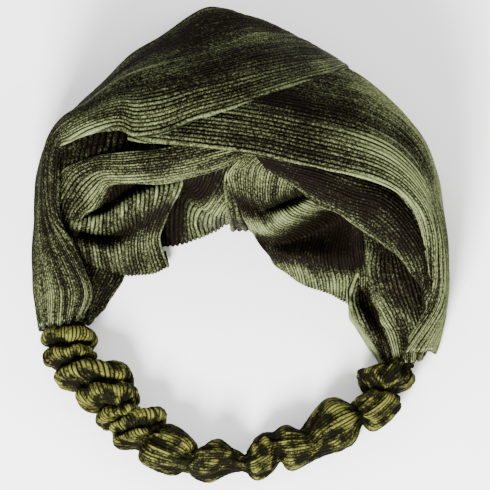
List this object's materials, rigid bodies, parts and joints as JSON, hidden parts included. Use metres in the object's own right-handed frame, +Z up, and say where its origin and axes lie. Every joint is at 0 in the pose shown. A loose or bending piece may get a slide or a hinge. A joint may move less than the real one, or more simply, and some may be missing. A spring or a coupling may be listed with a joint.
{
  "type": "knotted headband",
  "caption": "Wide ribbed-velvet headband: strips hooked through each other make a twisted knot at the front, and a scrunched tube round flat elastic closes it at the back.",
  "frame": {"origin": "On the table under the middle of the headband's outline, at the bottom centre of its box.", "axes": "+Z is up from the table it lies on, +Y points from the elastic at the back of the head to the knot at the front, +X from the left join to the right join as seen from the elastic's side."},
  "size_m": [0.1688, 0.2103, 0.0792],
  "materials": {
    "ribbed_velvet": "pleated olive-green velvet, ribs 3 mm apart, dark in the grooves and lighter on the crests",
    "casing_velvet": "the same velvet scrunched, with brighter yellow-green pile on the crests",
    "woven_elastic": "flat woven elastic, matt dark",
    "join_thread": "light olive polyester sewing thread",
    "seam_thread": "olive polyester sewing thread"
  },
  "bodies": {
    "front": {"left_wrap": "ribbed_velvet", "right_wrap": "ribbed_velvet", "left_wrap_seam": "seam_thread", "right_wrap_seam": "seam_thread", "left_join_stitches": "join_thread", "right_join_stitches": "join_thread"},
    "back": {"elastic_casing": "casing_velvet", "elastic_band": "woven_elastic", "casing_seam": "seam_thread"}
  },
  "joints": [
    {"name": "elastic_stretch", "type": "slide", "parent": "front", "child": "back", "axis": [0, -1, 0], "range_m": [0, 0.04], "stiffness_N_per_m": 120, "deforming": ["elastic_casing", "elastic_band", "casing_seam"]}
  ]
}
